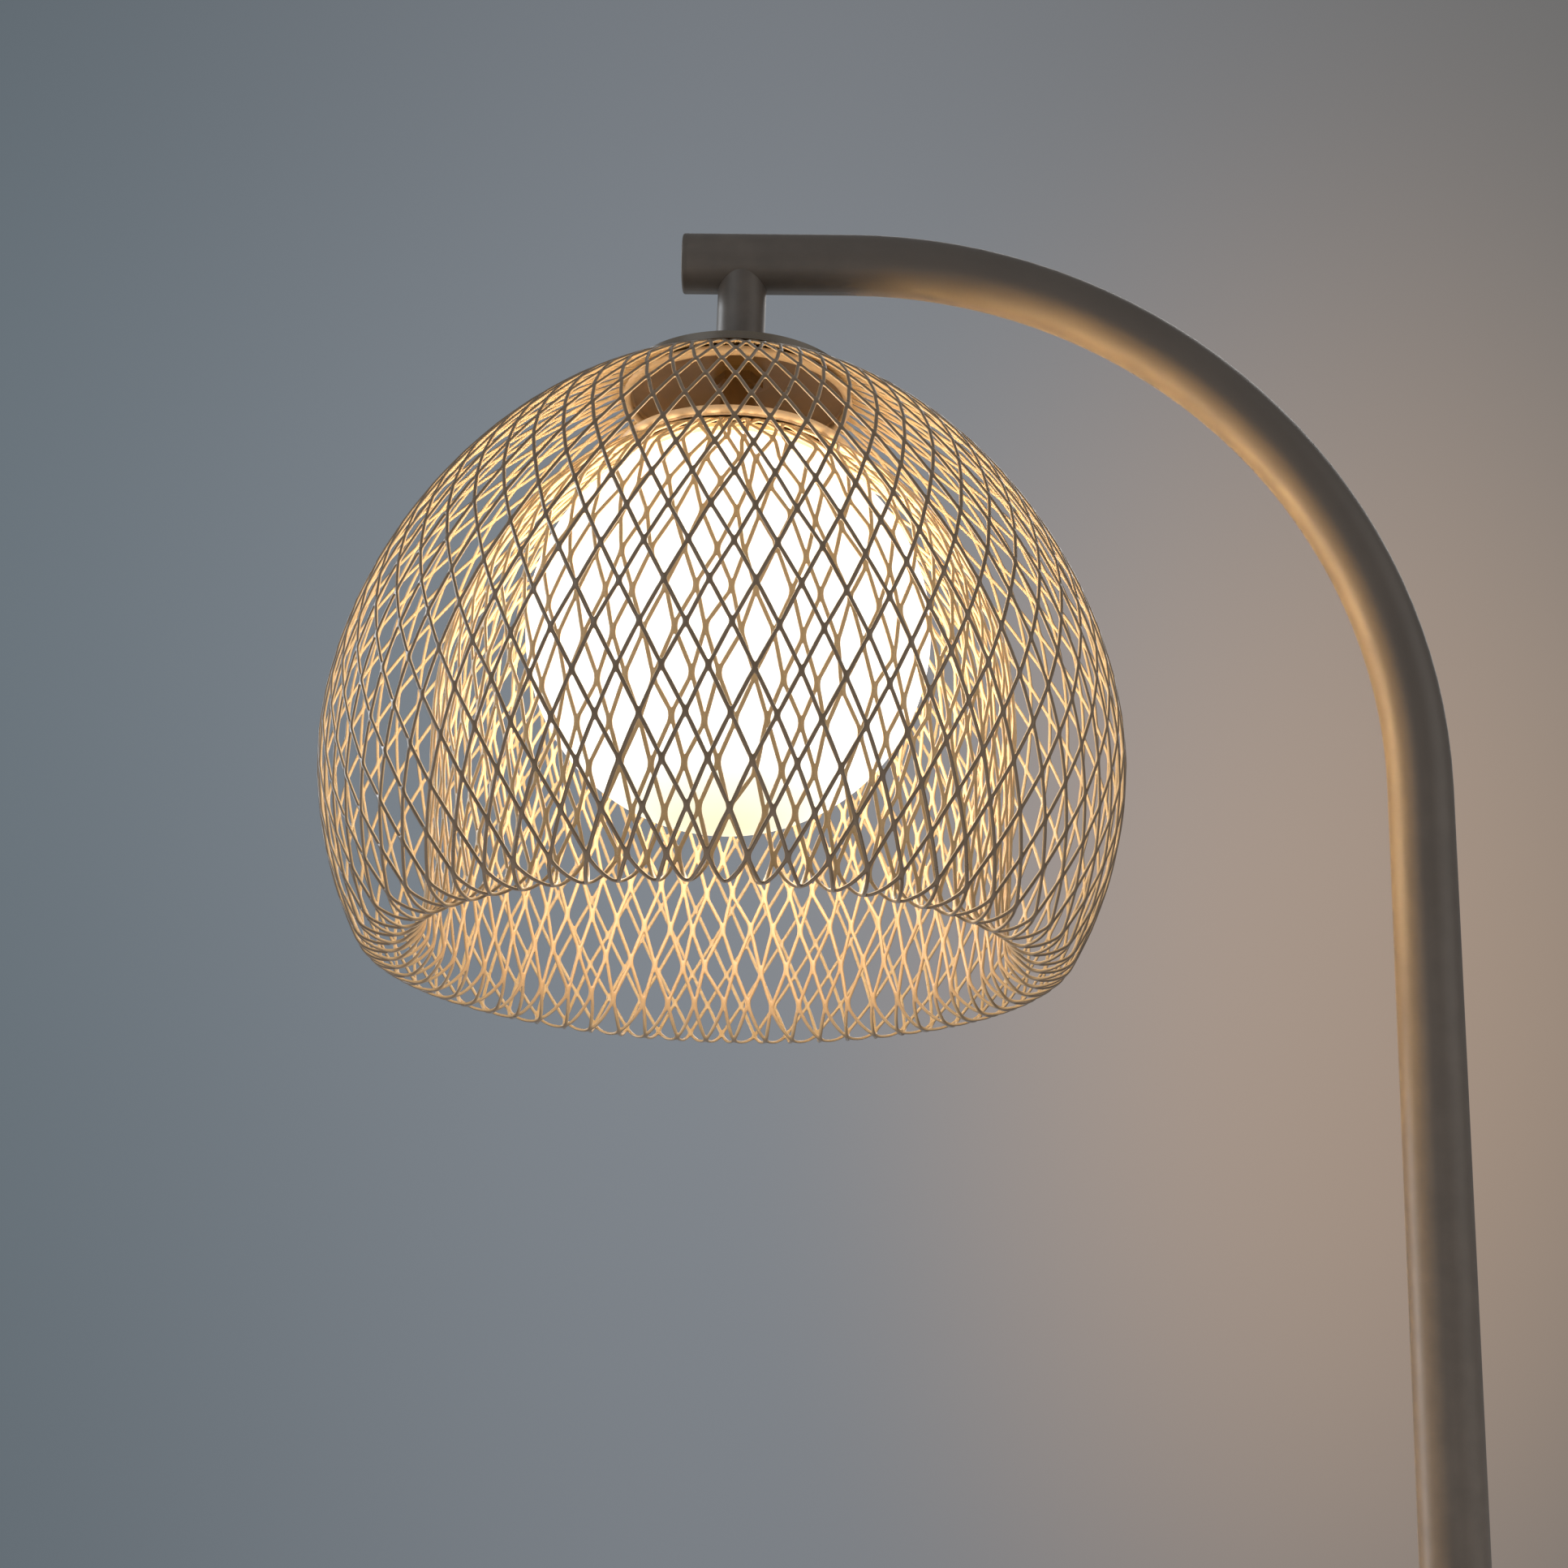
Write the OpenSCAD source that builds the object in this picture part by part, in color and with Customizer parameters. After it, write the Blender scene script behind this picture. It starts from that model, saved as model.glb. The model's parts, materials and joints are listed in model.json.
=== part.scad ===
// Table lamp: one bent tube carries a folded wire-mesh shade round an opal globe.
// Millimetres, +Z up. The origin is the centre of the face that the base rests on.
// The pole stands at +X and the shade hangs at -X, so +X points right in a front view.

/* [Stand] */
// Height of the axis of the level arm above the table
arm_h = 490; // [440:1:640]
// Distance from the pole axis to the shade axis
reach = 216; // [190:1:260]
// Radius of the bend between pole and arm, at the tube axis
bend_r = 180; // [140:1:185]
// Outer diameter of the bent tube
tube_d = 20; // [18:0.5:24]
// Wall of the bent tube
tube_wall = 1.5; // [1:0.1:2]
// Length of arm that runs on past the shade axis, end plug included
arm_tail = 20; // [16:0.5:30]
// Thickness of the head of the plug that closes the arm
plug_head_t = 2; // [1:0.25:4]
// Length of the plug inside the tube
plug_spigot = 8; // [4:0.5:12]

/* [Base] */
// Diameter of the base
base_d = 200; // [170:1:240]
// Height of the base
base_h = 26; // [24:0.5:32]
// Distance from the centre of the base to the pole axis
pole_offset = 65; // [45:1:72]
// Sheet thickness of the base cover
cover_t = 1.2; // [0.8:0.1:2]
// Rounding of the upper edge of the base
edge_r = 6; // [3:0.5:8]
// Thickness of the cast weight
weight_t = 14; // [12:0.5:16]
// Gap between the weight and the skirt of the cover
weight_gap = 0.8; // [0.3:0.1:2]
// Thickness of the sheet that closes the base
plate_t = 1.5; // [1:0.1:2]
// Thickness of the felt pad
pad_t = 2; // [1.5:0.1:2.2]
// Height of the edge of the cover above the table
skirt_lift = 1.5; // [1:0.1:1.8]
// Diameter of the screws that hold the closing sheet
screw_d = 4; // [3:0.5:5]
// Distance of those screws from the centre of the base
screw_ring_r = 78; // [72:0.5:80]
// Bore of the inlet for the mains cord
gland_bore = 6.5; // [5:0.25:8]
// Outer diameter of the collar of that inlet
gland_d = 14; // [12:0.5:16]
// Diameter of the hole in the skirt that the inlet passes through
gland_hole_d = 11; // [10:0.25:11.5]
// Thickness of the collar of the inlet outside the skirt
gland_flange_t = 2; // [1:0.25:3]
// Depth that the inlet reaches inside the skirt
gland_depth = 6; // [4:0.5:8]

/* [Pole foot] */
// Diameter of the flange that the pole stands on
foot_d = 30; // [26:0.5:36]
// Thickness of that flange
foot_t = 3; // [2:0.25:5]
// Length of the foot inside the pole
foot_spigot = 25; // [18:0.5:35]
// Thread diameter of the hollow stud
stud_d = 12; // [11:0.25:13]
// Bore of the hollow stud
stud_bore = 8; // [7:0.25:9]
// Width across the flats of its nut
foot_nut_af = 19; // [17:0.5:21]
// Thickness of its nut
foot_nut_t = 3.4; // [3:0.1:4]
// Thickness of the washer on that nut
foot_washer_t = 1.6; // [1:0.1:2]
// Diameter of that washer
foot_washer_d = 28; // [24:0.5:32]

/* [Shade] */
// Widest diameter of the outer layer of the mesh, at the middle of its strands
shade_d = 250; // [230:1:270]
// Distance from the arm axis down to the widest level of the shade
shade_drop = 176.5; // [170:0.5:200]
// Height of the dome above the widest level, at its axis
dome_rise = 137.5; // [132:0.5:142]
// Power of the curve of the dome, 2 for an ellipse and less for a more pointed top
dome_power = 1.82; // [1.75:0.01:2]
// Angle below the widest level at which the mesh starts to fold in
hem_angle = 28.5; // [22:0.5:32]
// Radius of the fold at the mouth
hem_r = 11; // [8:0.5:13]
// Widest diameter of the inner layer of the mesh
inner_d = 182; // [176:1:188]
// Height of the inner dome above its own widest level
inner_rise = 101; // [98:0.5:104]
// Widest level of the inner layer above that of the outer one
inner_level = 10; // [5:0.5:14]
// Strands of the mesh that meet each level, counted as diamonds round the shade
net_columns = 31; // [20:1:32]
// Rows of knots from the cap round the fold to the inner plate
net_rows = 17; // [12:1:18]
// Half width of a knot
knot_w = 0.9; // [0.6:0.05:1.2]
// Thickness of the mesh
net_t = 1.5; // [1:0.1:1.8]
// Clearance between the mesh and the plates that hold its edges
net_fit = 0.3; // [0.2:0.05:0.6]

/* [Cap and plates] */
// Diameter of the cap over the mesh
cap_d = 72; // [68:1:90]
// Thickness of the cap
cap_t = 1; // [0.8:0.1:1.5]
// Height of the turned-up edge of the cap
cap_edge_h = 2.6; // [1.5:0.1:4]
// Thickness of that edge
cap_edge_t = 1.2; // [0.8:0.1:2]
// Diameter of the dished plate under the outer layer
retainer_d = 75; // [70:1:78]
// Thickness of that plate
retainer_t = 1.2; // [0.8:0.1:1.5]
// Diameter of the flat middle of the cap and of that plate
crown_d = 22; // [20:1:24]
// Diameter of the rolled rim of that plate and of the one over the inner layer
roll_d = 2.7; // [2:0.1:3.2]
// Radius at which the outer layer of the mesh ends under the cap
net_top_r = 32; // [30:0.5:34]
// Diameter of the plate over the inner layer
inner_plate_d = 78; // [74:1:84]
// Thickness of that plate
inner_plate_t = 1.4; // [1:0.1:2]
// Diameter of the flat middle of that plate
inner_crown_d = 60; // [56:1:62]
// Radius at which the inner layer of the mesh ends under that plate
net_in_r = 34; // [33:0.5:35]

/* [Suspension] */
// Outer diameter of the neck tube
neck_d = 16; // [15.5:0.5:18]
// Bore of the neck tube
neck_bore = 13; // [12.5:0.25:13.5]
// Length of the threaded bush in the neck
bush_len = 14; // [10:0.5:20]
// Diameter of the hollow threaded rod
rod_d = 10; // [9.5:0.25:10.5]
// Bore of that rod
rod_bore = 7; // [6:0.25:7.5]
// Running clearance on the diameter of parts that slip over the rod
rod_fit = 0.2; // [0.1:0.05:0.4]
// Outer diameter of the spacer tube
spacer_d = 11.6; // [11.4:0.1:13]
// Width across the flats of the two rod nuts
rod_nut_af = 14; // [13:0.5:17]
// Thickness of each rod nut
rod_nut_t = 3; // [2.5:0.1:4]

/* [Globe] */
// Outer diameter of the globe
globe_d = 128.5; // [120:0.5:132]
// Wall of the globe
globe_wall = 3; // [2:0.25:4]
// Diameter of the flat face round the mouth of the globe
lip_d = 60.4; // [58:0.2:64]
// Diameter of the bore through the lip of the globe
lip_bore = 50.8; // [50:0.1:52]
// Height of the lip of the globe
lip_h = 8; // [6:0.5:10]
// Outer diameter of the threaded collar that holds the globe
collar_d = 50; // [48:0.1:50.2]
// Wall of that collar
collar_wall = 2; // [1.5:0.1:2.5]
// Thickness of the flange of that collar
flange_t = 1.4; // [1:0.1:1.8]
// Diameter of the flange of that collar
flange_d = 72; // [68:0.5:76]
// Thickness of the gasket under the flange
gasket_t = 1; // [0.6:0.1:1.5]
// Gap that is left between parts that can move against each other
move_gap = 0.3; // [0.3:0.05:0.5]

/* [Lamp] */
// Outer diameter of the lampholder
holder_d = 27; // [26:0.5:30]
// Length of the lampholder
holder_len = 36; // [34:0.5:40]
// Inner diameter of the screw shell
shell_bore = 14.6; // [14.6:0.05:15]
// Wall of the screw shell
shell_wall = 0.9; // [0.5:0.1:1]
// Length of the screw shell
shell_len = 24; // [20:0.5:26]
// Diameter of the cap of the bulb
bulb_cap_d = 13.9; // [13.6:0.05:14]
// Length of the cap of the bulb
bulb_cap_len = 24; // [22:0.5:26]
// Diameter of the glass of the bulb
bulb_d = 30; // [26:0.5:36]
// Length of the bulb from contact to glass
bulb_len = 62; // [58:0.5:68]
// Wall of the glass of the bulb
bulb_wall = 0.8; // [0.5:0.1:1.2]

/* [Wiring] */
// Diameter of the lead inside the tube
lead_d = 4; // [3.5:0.1:4.5]
// Bend of the lead where the neck meets the arm
lead_bend_top = 12; // [10:0.5:14]
// Bend of the lead under the pole
lead_bend_foot = 8; // [7.5:0.25:9]
// Length of the terminal block
block_l = 20; // [16:0.5:24]
// Width of the terminal block
block_w = 16; // [12:0.5:20]
// Height of the terminal block
block_h = 11; // [10:0.5:12]
// Distance from the centre of the base to the middle of the terminal block
block_x = 22; // [10:0.5:24]
// Diameter of the terminal screws
terminal_d = 3.2; // [2.5:0.1:3.5]
// Length of the terminal screws
terminal_h = 2; // [1.5:0.25:3]
// Diameter of the wire holes of the terminal block
wire_hole_d = 3; // [2.5:0.1:3.5]

/* [Hidden] */
$fn = 96;

// Stand
pole_x = pole_offset;
shade_x = pole_x - reach;
shade_z = arm_h - shade_drop;
tube_bore = tube_d - 2 * tube_wall;
lead_way_d = neck_bore - 2;
plug_edge_r = 0.8;
arm_end_x = shade_x - arm_tail + plug_head_t;
// Clearance on the diameter of parts that fit closely
slip = 0.1;
// Clearance of parts that only pass each other
seat_gap = 0.4;
// Room round a part in its pocket
pocket_gap = 1;
// How far a cut runs past the face that it opens
cut = 1;

// Base, from the table up
plate_z = pad_t;
chamber_z = plate_z + plate_t;
weight_top = base_h - cover_t;
weight_z = weight_top - weight_t;
cover_r = base_d / 2;
weight_r = cover_r - cover_t - weight_gap;
plate_r = weight_r - seat_gap;
pad_r = plate_r - pocket_gap;
screw_hole_d = screw_d + slip;
screw_head_d = 2 * screw_d;
screw_head_t = pad_t - seat_gap;
screw_bite = 4;
plate_hole_d = screw_d + seat_gap;
boss_wall = 5;
boss_d = screw_d + 2 * boss_wall;
block_top = chamber_z + block_h + pocket_gap;
gland_z = chamber_z + gland_d / 2 + pocket_gap / 2;
channel_w = gland_d + 2 * pocket_gap;
channel_l = 22;

// Foot of the pole
foot_z = base_h + foot_t;
stud_hole_d = stud_d + seat_gap;
recess_h = foot_nut_t + foot_washer_t;
recess_d = foot_washer_d + 3 * pocket_gap;
stud_z = weight_z;
stud_recess = 3;
stud_top = foot_z + foot_spigot - stud_recess;

// The mesh runs from the cap down the outer layer, round the fold and up the inner layer
shade_r = shade_d / 2;
inner_r = inner_d / 2;
hem_centre = [(shade_r - hem_r) * cos(hem_angle), -(shade_r - hem_r) * sin(hem_angle)];

function dome_z(r) = dome_rise * pow(1 - pow(r / shade_r, dome_power), 1 / dome_power);
function inner_z(r) = inner_level + inner_rise * sqrt(1 - pow(r / inner_r, 2));

// Angle on the dome at which its radius is r
function dome_angle(r) = acos(pow(r / shade_r, dome_power / 2));
function dome_point(a) = [shade_r * pow(cos(a), 2 / dome_power), dome_rise * pow(sin(a), 2 / dome_power)];

curve_steps = 24;
dome_start = dome_angle(net_top_r);
inner_end = acos(net_in_r / inner_r);
net_curve = concat(
    [for (i = [0 : curve_steps - 1]) dome_point(dome_start * (1 - i / curve_steps))],
    [for (i = [0 : curve_steps / 2]) let (a = hem_angle * i / (curve_steps / 2))
        [shade_r * cos(a), -shade_r * sin(a)]],
    [for (i = [1 : curve_steps]) let (a = hem_angle + (180 - hem_angle) * i / curve_steps)
        hem_centre + hem_r * [cos(a), -sin(a)]],
    [for (i = [0 : curve_steps]) let (a = inner_end * i / curve_steps)
        [inner_r * cos(a), inner_level + inner_rise * sin(a)]]
);
// Length along the curve up to each of its points
net_run = [for (i = 0, s = 0; i < len(net_curve);
    i = i + 1, s = s + (i < len(net_curve) ? norm(net_curve[i] - net_curve[i - 1]) : 0)) s];
net_length = net_run[len(net_run) - 1];
net_r_of = [for (i = [0 : len(net_curve) - 1]) [net_run[i], net_curve[i][0]]];
net_z_of = [for (i = [0 : len(net_curve) - 1]) [net_run[i], net_curve[i][1]]];
function net_point(s) = [lookup(s, net_r_of), lookup(s, net_z_of)];
function net_along(s) = let (d = net_point(s + 1) - net_point(s - 1)) d / norm(d);

// A knot has four corners on the face of the mesh and one point on its back
knot_l = 2 * knot_w;
row_step = net_length / net_rows;
function knot_angle(row, col) = (col + (row % 2) / 2) * 360 / net_columns;
function around(r, z, a) = [r * cos(a), r * sin(a), z];
function knot(row, col) = let (
    s = row * row_step,
    p = net_point(s),
    d = net_along(s),
    n = [-d[1], d[0]],
    face = p + n * net_t / 2,
    back = p - n * net_t / 2,
    up = face - d * knot_l,
    down = face + d * knot_l,
    a = knot_angle(row, col),
    half = knot_w / face[0] * 180 / PI
) [around(up[0], up[1], a), around(face[0], face[1], a + half), around(down[0], down[1], a),
   around(face[0], face[1], a - half), around(back[0], back[1], a)];

function knot_id(row, col) = 5 * (row * net_columns + (col + net_columns) % net_columns);

// The strand from one knot to the next row: its face and its two flanks, as triangles
function strand(a, b, left, right) = [
    [a + 2, a + right, b], [a + 2, b, b + left],
    [a + right, a + 4, b + 4], [a + right, b + 4, b],
    [a + 2, b + left, b + 4], [a + 2, b + 4, a + 4]];
function flip(faces) = [for (f = faces) [f[2], f[1], f[0]]];
function column_right(row, col) = col + row % 2;

function place(p) = [p[0] + shade_x, p[1], p[2] + shade_z];

// Levels on the shade axis, measured from the widest level of the shade
clamp_w = max(retainer_d / 2 - net_top_r, flange_d / 2 - net_in_r);
over_gap = net_t / 2 + net_fit;
// A straight strand runs a little below the curve of its knots
under_gap = over_gap + clamp_w * row_step / shade_d;
crown_r = crown_d / 2;
cap_under = dome_z(crown_r) + over_gap;
cap_top = cap_under + cap_t;
retainer_under = dome_z(crown_r) - under_gap - retainer_t;
inner_crown_r = inner_crown_d / 2;
inner_under = inner_z(inner_crown_r) + over_gap;
inner_top = inner_under + inner_plate_t;
flange_under = inner_z(inner_crown_r) - under_gap - flange_t;
holder_top = flange_under - rod_nut_t;
holder_end = holder_top - holder_len;
globe_top = flange_under - gasket_t - move_gap;
globe_r = globe_d / 2;
globe_level = globe_top - sqrt(pow(globe_r, 2) - pow(lip_d / 2, 2));
holder_web = 3;
holder_floor = 5;
shell_top = holder_top - holder_web - holder_floor;
contact_t = 1.8;
contact_d = shell_bore - 4;
lead_hole_d = lead_d + 2;
collar_len = gasket_t + lip_h;
bulb_tip = shell_top - contact_t - move_gap;
rod_low = holder_top - holder_web;
rod_high = cap_top + bush_len - pocket_gap;
lead_top_end = shell_top + slip;

/* Modules that several parts share */
module at_shade(level = 0) {
    translate([shade_x, 0, shade_z + level]) children();
}

// A round cut that runs past both faces of a body h high
module hole(d, h) {
    translate([0, 0, -cut]) cylinder(d = d, h = h + 2 * cut);
}

module ring(outer, inner, h) {
    difference() {
        cylinder(d = outer, h = h);
        hole(inner, h);
    }
}

module hex_nut(flats, bore, h) {
    difference() {
        cylinder(d = flats / cos(30), h = h, $fn = 6);
        hole(bore, h);
    }
}

module at_screws() {
    for (a = [60, 180, 300]) rotate(a) translate([screw_ring_r, 0, 0]) children();
}

// A dished sheet that follows the curve heights[i] over radii[i], t thick
module dished(radii, heights, t) {
    low = [for (i = [0 : len(radii) - 1]) [radii[i], heights[i]]];
    high = [for (i = [len(radii) - 1 : -1 : 0]) [radii[i], heights[i] + t]];
    rotate_extrude() polygon(concat(low, high));
}

// Rim of a plate, rolled to a bead
module rolled_rim(radius, level) {
    rotate_extrude() translate([radius, level]) circle(d = roll_d);
}

// A round lead swept along points that lie in the plane of the arm
module lead(points, d, sides = 8) {
    n = len(points);
    dirs = [for (i = [0 : n - 1])
        let (v = points[min(i + 1, n - 1)] - points[max(i - 1, 0)]) v / norm(v)];
    rings = [for (i = [0 : n - 1], k = [0 : sides - 1])
        let (a = 360 * k / sides, side = [dirs[i][2], 0, -dirs[i][0]])
        points[i] + d / 2 * (cos(a) * side + sin(a) * [0, 1, 0])];
    walls = [for (i = [0 : n - 2], k = [0 : sides - 1])
        let (a = i * sides + k, b = i * sides + (k + 1) % sides)
        [a, a + sides, b + sides, b]];
    first = [for (k = [0 : sides - 1]) k];
    last = [for (k = [sides - 1 : -1 : 0]) (n - 1) * sides + k];
    polyhedron(rings, concat(walls, [first, last]));
}

/* Base */
module base_pad() {
    color("#2b2a29") difference() {
        cylinder(r = pad_r, h = pad_t);
        at_screws() hole(screw_head_d + 2 * pocket_gap, pad_t);
    }
}

module bottom_plate() {
    color("#8d9093") translate([0, 0, plate_z]) difference() {
        cylinder(r = plate_r, h = plate_t);
        at_screws() hole(plate_hole_d, plate_t);
    }
}

module plate_screws() {
    color("#b9bcc0") at_screws() {
        translate([0, 0, plate_z - screw_head_t]) cylinder(d = screw_head_d, h = screw_head_t);
        translate([0, 0, plate_z]) cylinder(d = screw_d, h = weight_z - plate_z + screw_bite);
    }
}

// A disc with its upper edge rounded
module rounded_disc(r, h, corner) {
    rotate_extrude() {
        square([r - corner, h]);
        square([r, h - corner]);
        translate([r - corner, h - corner]) intersection() {
            circle(r = corner);
            square(2 * corner);
        }
    }
}

module base_weight() {
    boss_h = weight_z - chamber_z;
    color("#4a4b4d") difference() {
        union() {
            translate([0, 0, weight_z]) rounded_disc(weight_r, weight_t, edge_r - cover_t);
            at_screws() translate([0, 0, chamber_z]) cylinder(d = boss_d, h = boss_h + cut);
        }
        at_screws() translate([0, 0, chamber_z - cut])
            cylinder(d = screw_hole_d, h = boss_h + screw_bite + 2 * cut);
        translate([pole_x, 0, weight_z]) hole(stud_hole_d, weight_t);
        translate([pole_x, 0, weight_z - cut]) cylinder(d = recess_d, h = recess_h + cut);
        weight_pocket(block_x, 0, block_l + 2 * pocket_gap, block_w + 2 * pocket_gap, block_top);
        weight_pocket(0, weight_r, channel_w, 2 * channel_l, gland_z + gland_d / 2 + pocket_gap);
    }
}

// A pocket cut up into the weight from below, centred on x, y
module weight_pocket(x, y, l, w, top) {
    translate([x - l / 2, y - w / 2, weight_z - cut]) cube([l, w, top - weight_z + cut]);
}

module base_cover() {
    color("#8a7d70") difference() {
        translate([0, 0, skirt_lift]) rounded_disc(cover_r, base_h - skirt_lift, edge_r);
        translate([0, 0, skirt_lift - cut])
            rounded_disc(cover_r - cover_t, weight_top - skirt_lift + cut, edge_r - cover_t);
        translate([pole_x, 0, weight_top]) hole(stud_hole_d, cover_t);
        translate([0, cover_r - gland_depth, gland_z]) rotate([-90, 0, 0]) hole(gland_hole_d, gland_depth);
    }
}

module cord_gland() {
    color("#3a3632") translate([0, cover_r, gland_z]) rotate([-90, 0, 0]) difference() {
        union() {
            translate([0, 0, -gland_depth]) {
                cylinder(d = gland_hole_d - 2 * slip, h = gland_depth + seat_gap + cut);
                cylinder(d = gland_d - seat_gap, h = gland_depth - cover_t - pocket_gap);
            }
            translate([0, 0, seat_gap]) cylinder(d = gland_d, h = gland_flange_t);
        }
        translate([0, 0, -gland_depth]) hole(gland_bore, gland_depth + gland_flange_t);
    }
}

module terminal_block() {
    color("#e8e4da") translate([block_x, 0, block_top - block_h / 2]) difference() {
        cube([block_l, block_w, block_h], center = true);
        for (y = [-1, 1]) translate([0, y * block_w / 4, -block_h / 4]) {
            rotate([0, 90, 0]) cylinder(d = wire_hole_d, h = block_l + 2 * cut, center = true);
            for (x = [-1, 1]) translate([x * block_l / 4, 0, -block_h / 2])
                cylinder(d = terminal_d + 2 * slip, h = block_h / 2);
        }
    }
}

module terminal_screws() {
    color("#c9a85c") for (x = [-1, 1], y = [-1, 1])
        translate([block_x + x * block_l / 4, y * block_w / 4, block_top - block_h + seat_gap])
            cylinder(d = terminal_d, h = terminal_h);
}

/* Pole foot */
module pole_foot() {
    color("#857a6e") translate([pole_x, 0, base_h]) difference() {
        union() {
            cylinder(d = foot_d, h = foot_t);
            cylinder(d = tube_bore - slip, h = foot_t + foot_spigot);
        }
        hole(stud_d + slip, foot_t + foot_spigot);
    }
}

module foot_stud() {
    color("#b9bcc0") translate([pole_x, 0, stud_z]) ring(stud_d, stud_bore, stud_top - stud_z);
}

module foot_washer() {
    color("#b9bcc0") translate([pole_x, 0, weight_z + foot_nut_t])
        ring(foot_washer_d, stud_hole_d, foot_washer_t);
}

module foot_nut() {
    color("#b9bcc0") translate([pole_x, 0, weight_z]) hex_nut(foot_nut_af, stud_d + slip, foot_nut_t);
}

/* Arm */
module arm_solid(d, over = 0) {
    translate([pole_x, 0, foot_z - over]) cylinder(d = d, h = arm_h - bend_r - foot_z + over);
    translate([pole_x - bend_r, 0, arm_h - bend_r]) rotate([90, 0, 0])
        rotate_extrude(angle = 90) translate([bend_r, 0]) circle(d = d);
    translate([arm_end_x - over, 0, arm_h]) rotate([0, 90, 0])
        cylinder(d = d, h = pole_x - bend_r - arm_end_x + over);
}

module arm_tube() {
    color("#8a7d70") difference() {
        arm_solid(tube_d);
        arm_solid(tube_bore, cut);
        translate([shade_x, 0, arm_h - tube_d]) cylinder(d = lead_way_d, h = tube_d);
    }
}

module arm_plug() {
    color("#857a6e") translate([arm_end_x, 0, arm_h]) rotate([0, -90, 0]) {
        rounded_disc(tube_d / 2, plug_head_t, min(plug_edge_r, plug_head_t / 2));
        translate([0, 0, -plug_spigot]) cylinder(d = tube_bore - slip, h = plug_spigot);
    }
}

module neck_tube() {
    color("#7f746a") difference() {
        at_shade(cap_top) ring(neck_d, neck_bore, shade_drop - cap_top);
        translate([shade_x - neck_d, 0, arm_h]) rotate([0, 90, 0]) cylinder(d = tube_d, h = 2 * neck_d);
    }
}

module neck_bush() {
    color("#b9bcc0") at_shade(cap_top) ring(neck_bore - slip, rod_d + slip, bush_len);
}

module threaded_rod() {
    color("#c7a765") at_shade(rod_low) ring(rod_d, rod_bore, rod_high - rod_low);
}

module rod_nuts() {
    color("#c7a765") {
        at_shade(retainer_under - rod_nut_t) hex_nut(rod_nut_af, rod_d + slip, rod_nut_t);
        at_shade(flange_under - rod_nut_t) hex_nut(rod_nut_af, rod_d + slip, rod_nut_t);
    }
}

/* Shade */
sheet_steps = 12;
function radii_between(a, b) = [for (i = [0 : sheet_steps]) a + (b - a) * i / sheet_steps];
rod_hole_r = (rod_d + rod_fit) / 2;

module shade_cap() {
    radii = concat([rod_hole_r], radii_between(crown_r, cap_d / 2));
    heights = [for (r = radii) dome_z(max(r, crown_r)) + over_gap];
    edge_radii = [cap_d / 2 - cap_edge_t, cap_d / 2];
    color("#5d554d") at_shade() {
        dished(radii, heights, cap_t);
        dished(edge_radii, [for (r = edge_radii) dome_z(r) + over_gap], cap_edge_h);
    }
}

module mesh_retainer() {
    roll_at = retainer_d / 2 - roll_d / 2;
    radii = concat([rod_hole_r], radii_between(crown_r, roll_at));
    heights = [for (r = radii) dome_z(max(r, crown_r)) - under_gap - retainer_t];
    color("#6b625a") at_shade() {
        dished(radii, heights, retainer_t);
        rolled_rim(roll_at, dome_z(retainer_d / 2) - under_gap - roll_d / 2);
        translate([0, 0, retainer_under]) ring(crown_d - seat_gap, 2 * rod_hole_r, cap_under - retainer_under);
    }
}

module mesh_shade() {
    points = [for (row = [0 : net_rows], col = [0 : net_columns - 1]) for (p = knot(row, col)) place(p)];
    knot_faces = [for (row = [0 : net_rows], col = [0 : net_columns - 1]) let (k = knot_id(row, col))
        each [[k, k + 1, k + 3], [k + 1, k + 2, k + 3]]];
    first_faces = [for (col = [0 : net_columns - 1]) let (k = knot_id(0, col))
        each [[k + 1, k, k + 4], [k, k + 3, k + 4]]];
    last_faces = [for (col = [0 : net_columns - 1]) let (k = knot_id(net_rows, col))
        each [[k + 2, k + 1, k + 4], [k + 3, k + 2, k + 4]]];
    strands = [for (row = [0 : net_rows - 1], col = [0 : net_columns - 1])
        let (k = knot_id(row, col), right = column_right(row, col))
        each concat(strand(k, knot_id(row + 1, right), 3, 1),
                    flip(strand(k, knot_id(row + 1, right - 1), 1, 3)))];
    color("#4c443d") polyhedron(points, concat(knot_faces, first_faces, last_faces, strands));
}

module spacer_tube() {
    color("#5d554d") at_shade(inner_top)
        ring(spacer_d, rod_d + rod_fit, retainer_under - rod_nut_t - inner_top);
}

module inner_plate() {
    roll_at = inner_plate_d / 2 - roll_d / 2;
    radii = concat([rod_hole_r], radii_between(inner_crown_r, roll_at));
    heights = [for (r = radii) inner_z(max(r, inner_crown_r)) + over_gap];
    color("#a98c6c") at_shade() {
        dished(radii, heights, inner_plate_t);
        rolled_rim(roll_at, inner_z(roll_at - roll_d / 2) + over_gap + roll_d / 2);
    }
}

/* Globe and its collar */
module globe_collar() {
    radii = concat([rod_hole_r], radii_between(inner_crown_r, flange_d / 2));
    heights = [for (r = radii) inner_z(max(r, inner_crown_r)) - under_gap - flange_t];
    color("#a98c6c") at_shade() {
        dished(radii, heights, flange_t);
        translate([0, 0, flange_under]) ring(2 * crown_r, 2 * rod_hole_r, inner_under - flange_under);
        translate([0, 0, flange_under - collar_len])
            ring(collar_d, collar_d - 2 * collar_wall, collar_len + flange_t / 2);
    }
}

module globe_gasket() {
    color("#d9d6cf") at_shade(flange_under - gasket_t)
        ring(min(lip_d, inner_crown_d), collar_d + slip, gasket_t);
}

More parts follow.
